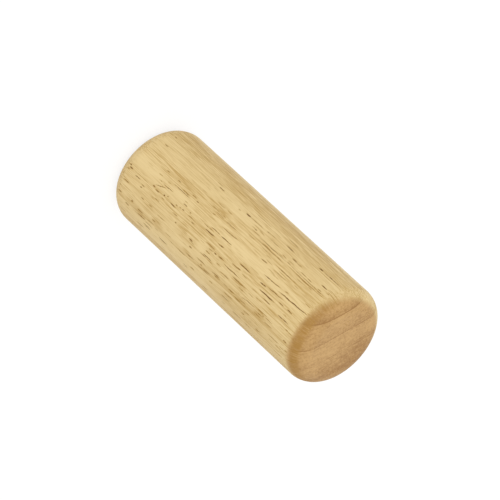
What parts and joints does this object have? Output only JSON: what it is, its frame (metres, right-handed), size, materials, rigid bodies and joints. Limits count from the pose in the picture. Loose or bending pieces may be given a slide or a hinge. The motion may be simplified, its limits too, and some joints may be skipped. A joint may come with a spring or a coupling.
{
  "type": "wooden shaker",
  "caption": "Turned hardwood cylinder shaker with rounded shoulders, a plugged blind bore and loose pellets sealed inside.",
  "frame": {"origin": "centre of the flat end that holds the plug, where the turning axis meets it", "axes": "+Z along the turning axis, from the plugged end towards the closed end"},
  "size_m": [0.05, 0.05, 0.1415],
  "materials": {
    "turned_wood": "clear satin lacquer over light, straight-grained hardwood",
    "plug_wood": "clear satin lacquer over end grain",
    "pellet_plastic": "natural, cut square from an extruded rod"
  },
  "bodies": {
    "root": {"shaker_body": "turned_wood", "end_plug": "plug_wood"},
    "pellet_01": {"pellet_01": "pellet_plastic"},
    "pellet_02": {"pellet_02": "pellet_plastic"},
    "pellet_03": {"pellet_03": "pellet_plastic"},
    "pellet_04": {"pellet_04": "pellet_plastic"},
    "pellet_05": {"pellet_05": "pellet_plastic"},
    "pellet_06": {"pellet_06": "pellet_plastic"},
    "pellet_07": {"pellet_07": "pellet_plastic"},
    "pellet_08": {"pellet_08": "pellet_plastic"},
    "pellet_09": {"pellet_09": "pellet_plastic"},
    "pellet_10": {"pellet_10": "pellet_plastic"},
    "pellet_11": {"pellet_11": "pellet_plastic"},
    "pellet_12": {"pellet_12": "pellet_plastic"},
    "pellet_13": {"pellet_13": "pellet_plastic"},
    "pellet_14": {"pellet_14": "pellet_plastic"},
    "pellet_15": {"pellet_15": "pellet_plastic"},
    "pellet_16": {"pellet_16": "pellet_plastic"},
    "pellet_17": {"pellet_17": "pellet_plastic"},
    "pellet_18": {"pellet_18": "pellet_plastic"},
    "pellet_19": {"pellet_19": "pellet_plastic"}
  },
  "joints": [
    {"name": "pellet_01_travel", "type": "slide", "parent": "root", "child": "pellet_01", "axis": [0, 0, 1], "range_m": [0, 0.1144]},
    {"name": "pellet_02_travel", "type": "slide", "parent": "root", "child": "pellet_02", "axis": [0, 0, 1], "range_m": [0, 0.1144]},
    {"name": "pellet_03_travel", "type": "slide", "parent": "root", "child": "pellet_03", "axis": [0, 0, 1], "range_m": [0, 0.1144]},
    {"name": "pellet_04_travel", "type": "slide", "parent": "root", "child": "pellet_04", "axis": [0, 0, 1], "range_m": [0, 0.1142]},
    {"name": "pellet_05_travel", "type": "slide", "parent": "root", "child": "pellet_05", "axis": [0, 0, 1], "range_m": [0, 0.1144]},
    {"name": "pellet_06_travel", "type": "slide", "parent": "root", "child": "pellet_06", "axis": [0, 0, 1], "range_m": [0, 0.1144]},
    {"name": "pellet_07_travel", "type": "slide", "parent": "root", "child": "pellet_07", "axis": [0, 0, 1], "range_m": [0, 0.1144]},
    {"name": "pellet_08_travel", "type": "slide", "parent": "root", "child": "pellet_08", "axis": [0, 0, 1], "range_m": [0, 0.1142]},
    {"name": "pellet_09_travel", "type": "slide", "parent": "root", "child": "pellet_09", "axis": [0, 0, 1], "range_m": [0, 0.1144]},
    {"name": "pellet_10_travel", "type": "slide", "parent": "root", "child": "pellet_10", "axis": [0, 0, 1], "range_m": [0, 0.1144]},
    {"name": "pellet_11_travel", "type": "slide", "parent": "root", "child": "pellet_11", "axis": [0, 0, 1], "range_m": [0, 0.1144]},
    {"name": "pellet_12_travel", "type": "slide", "parent": "root", "child": "pellet_12", "axis": [0, 0, 1], "range_m": [0, 0.1142]},
    {"name": "pellet_13_travel", "type": "slide", "parent": "root", "child": "pellet_13", "axis": [0, 0, 1], "range_m": [0, 0.1144]},
    {"name": "pellet_14_travel", "type": "slide", "parent": "root", "child": "pellet_14", "axis": [0, 0, 1], "range_m": [0, 0.1144]},
    {"name": "pellet_15_travel", "type": "slide", "parent": "root", "child": "pellet_15", "axis": [0, 0, 1], "range_m": [0, 0.1144]},
    {"name": "pellet_16_travel", "type": "slide", "parent": "root", "child": "pellet_16", "axis": [0, 0, 1], "range_m": [0, 0.1142]},
    {"name": "pellet_17_travel", "type": "slide", "parent": "root", "child": "pellet_17", "axis": [0, 0, 1], "range_m": [0, 0.1144]},
    {"name": "pellet_18_travel", "type": "slide", "parent": "root", "child": "pellet_18", "axis": [0, 0, 1], "range_m": [0, 0.1144]},
    {"name": "pellet_19_travel", "type": "slide", "parent": "root", "child": "pellet_19", "axis": [0, 0, 1], "range_m": [0, 0.1144]}
  ]
}
